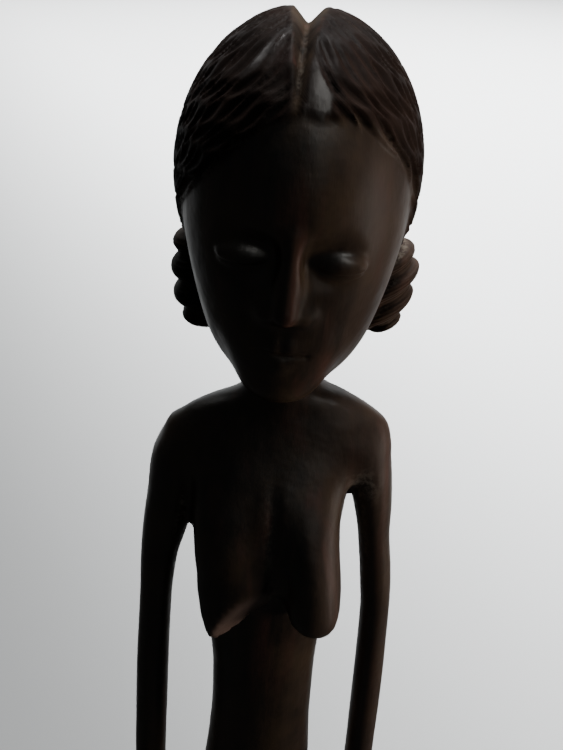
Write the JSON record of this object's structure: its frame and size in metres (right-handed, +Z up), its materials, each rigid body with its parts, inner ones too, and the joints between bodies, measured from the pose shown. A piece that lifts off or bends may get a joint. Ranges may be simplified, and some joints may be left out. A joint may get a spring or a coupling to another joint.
{
  "type": "carved wooden figure",
  "caption": "Standing woman carved from one billet of dark polished hardwood, with parted hair, rolled hair buns, long thin arms, a wrapped skirt and a low round base.",
  "frame": {"origin": "centre of the low round base's flat underside", "axes": "+Z up along the standing figure from base to crown, and the figure faces -Y"},
  "size_m": [0.0601, 0.06, 0.3809],
  "materials": {
    "ebony": "hand-polished dark hardwood, semi-gloss, with reddish-brown variation and dust in the deep cuts"
  },
  "bodies": {
    "root": {"figure": "ebony"}
  },
  "joints": []
}
